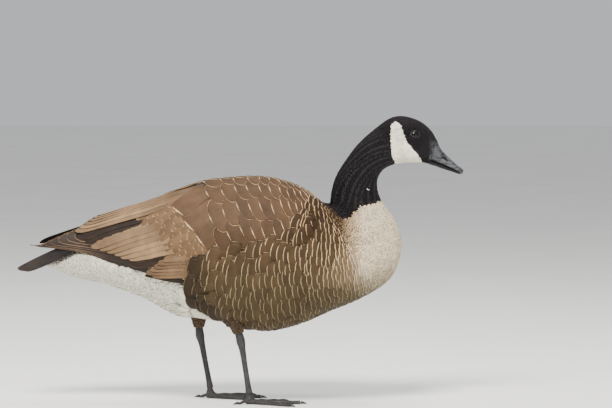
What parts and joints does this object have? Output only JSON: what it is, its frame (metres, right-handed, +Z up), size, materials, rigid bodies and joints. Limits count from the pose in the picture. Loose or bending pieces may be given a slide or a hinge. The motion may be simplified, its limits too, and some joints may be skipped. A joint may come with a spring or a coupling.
{
  "type": "canada goose",
  "caption": "Standing goose in profile: folded wings, neck drawn up, head and bill forward, tail closed, feet flat on the floor.",
  "frame": {"origin": "on the floor, under the middle of the bird's length and width", "axes": "+X towards the bill, +Y towards the bird's left side, +Z up"},
  "size_m": [0.714, 0.2127, 0.457],
  "materials": {
    "black_plumage": "short dense feathers, soft sheen",
    "brown_plumage": "barred feathers, matt",
    "pale_plumage": "soft feathers, matt",
    "white_plumage": "soft feathers, matt",
    "dark_quills": "stiff flight feathers, slight sheen",
    "thigh_plumage": "soft feathers, matt",
    "bill_horn": "smooth horn, soft gloss",
    "leg_skin": "scaly skin, slight gloss",
    "claw_horn": "smooth horn",
    "eye_dark": "wet gloss"
  },
  "bodies": {
    "root": {"head": "black_plumage", "neck": "black_plumage", "cheek_strap": "white_plumage", "breast": "pale_plumage", "torso": "brown_plumage", "rump": "white_plumage", "tail": "dark_quills", "wing_right": "brown_plumage", "wing_left": "brown_plumage", "primaries_right": "dark_quills", "primaries_left": "dark_quills", "thigh_right": "thigh_plumage", "thigh_left": "thigh_plumage", "leg_right": "leg_skin", "leg_left": "leg_skin", "foot_right": "leg_skin", "foot_left": "leg_skin", "claw_right_inner": "claw_horn", "claw_right_middle": "claw_horn", "claw_right_outer": "claw_horn", "claw_right_hind": "claw_horn", "claw_left_inner": "claw_horn", "claw_left_middle": "claw_horn", "claw_left_outer": "claw_horn", "claw_left_hind": "claw_horn", "bill_upper": "bill_horn", "bill_lower": "bill_horn", "eye_right": "eye_dark", "eye_left": "eye_dark"}
  },
  "joints": []
}
